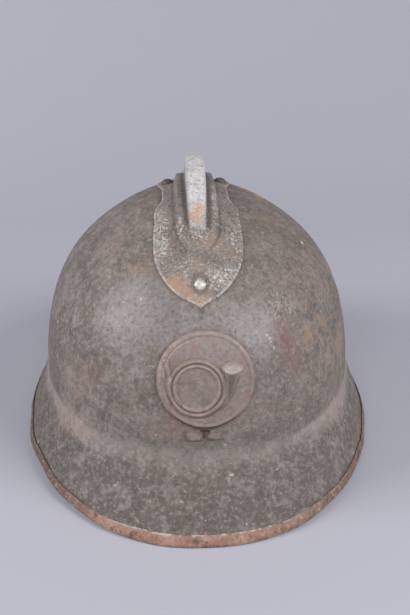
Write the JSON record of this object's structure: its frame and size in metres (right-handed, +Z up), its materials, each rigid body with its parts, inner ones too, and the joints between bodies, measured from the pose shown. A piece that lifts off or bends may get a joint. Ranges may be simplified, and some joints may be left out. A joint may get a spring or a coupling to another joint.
{
  "type": "combat helmet",
  "caption": "Flared-brim steel helmet with a short comb, a round horn badge, a leather liner and a swinging chin strap.",
  "frame": {"origin": "on the ground under the middle of the rim", "axes": "+Z up, the front and its badge face -Y, +X to the viewer's right"},
  "size_m": [0.2298, 0.2947, 0.1796],
  "materials": {
    "shell_paint": "worn matt olive-brown paint",
    "badge_paint": "worn matt olive-brown paint",
    "comb_paint": "paint worn through to grey metal",
    "binding_steel": "rusted steel",
    "rivet_steel": "worn steel",
    "bare_steel": "tarnished steel",
    "buckle_steel": "tarnished steel",
    "hoop_aluminium": "dull aluminium",
    "liner_cloth": "wool cloth",
    "liner_leather": "aged dark brown leather",
    "strap_leather": "aged brown leather"
  },
  "bodies": {
    "helmet": {"shell": "shell_paint", "rim_binding": "binding_steel", "comb": "comb_paint", "comb_rivets": "rivet_steel", "badge": "badge_paint", "badge_prong_lower": "badge_paint", "badge_prong_upper": "badge_paint", "liner_hoop": "hoop_aluminium", "cloth_band": "liner_cloth", "leather_headband": "liner_leather", "leather_tongues": "liner_leather", "spacer_front_left": "hoop_aluminium", "spacer_front_right": "hoop_aluminium", "spacer_rear_left": "hoop_aluminium", "spacer_rear_right": "hoop_aluminium", "liner_clip_front": "bare_steel", "liner_clip_rear": "bare_steel", "liner_clip_left": "bare_steel", "liner_clip_right": "bare_steel", "lug_left": "bare_steel", "lug_right": "bare_steel"},
    "left_ring": {"ring_left": "bare_steel"},
    "right_ring": {"ring_right": "bare_steel"},
    "strap": {"chin_strap": "strap_leather", "strap_rivets": "rivet_steel"},
    "buckle": {"strap_buckle": "buckle_steel"},
    "keeper": {"strap_keeper": "strap_leather"}
  },
  "joints": [
    {"name": "strap_swing", "type": "hinge", "parent": "helmet", "child": "strap", "pos_m": [0, 0, 0.042], "axis": [1, 0, 0], "range_deg": [0, 149]},
    {"name": "left_ring_turn", "type": "hinge", "parent": "helmet", "child": "left_ring", "pos_m": [0, 0, 0.042], "axis": [1, 0, 0], "range_deg": [0, 149]},
    {"name": "right_ring_turn", "type": "hinge", "parent": "helmet", "child": "right_ring", "pos_m": [0, 0, 0.042], "axis": [1, 0, 0], "range_deg": [0, 149]},
    {"name": "buckle_slide", "type": "slide", "parent": "strap", "child": "buckle", "axis": [0.1979, -0.9446, -0.262], "range_m": [-0.0015, 0.009]},
    {"name": "keeper_slide", "type": "slide", "parent": "strap", "child": "keeper", "axis": [0.1979, -0.9446, -0.262], "range_m": [-0.005, 0.0055]}
  ],
  "couplings": [
    {"joint": "left_ring_turn", "follows": "strap_swing", "ratio": 1},
    {"joint": "right_ring_turn", "follows": "strap_swing", "ratio": 1}
  ]
}
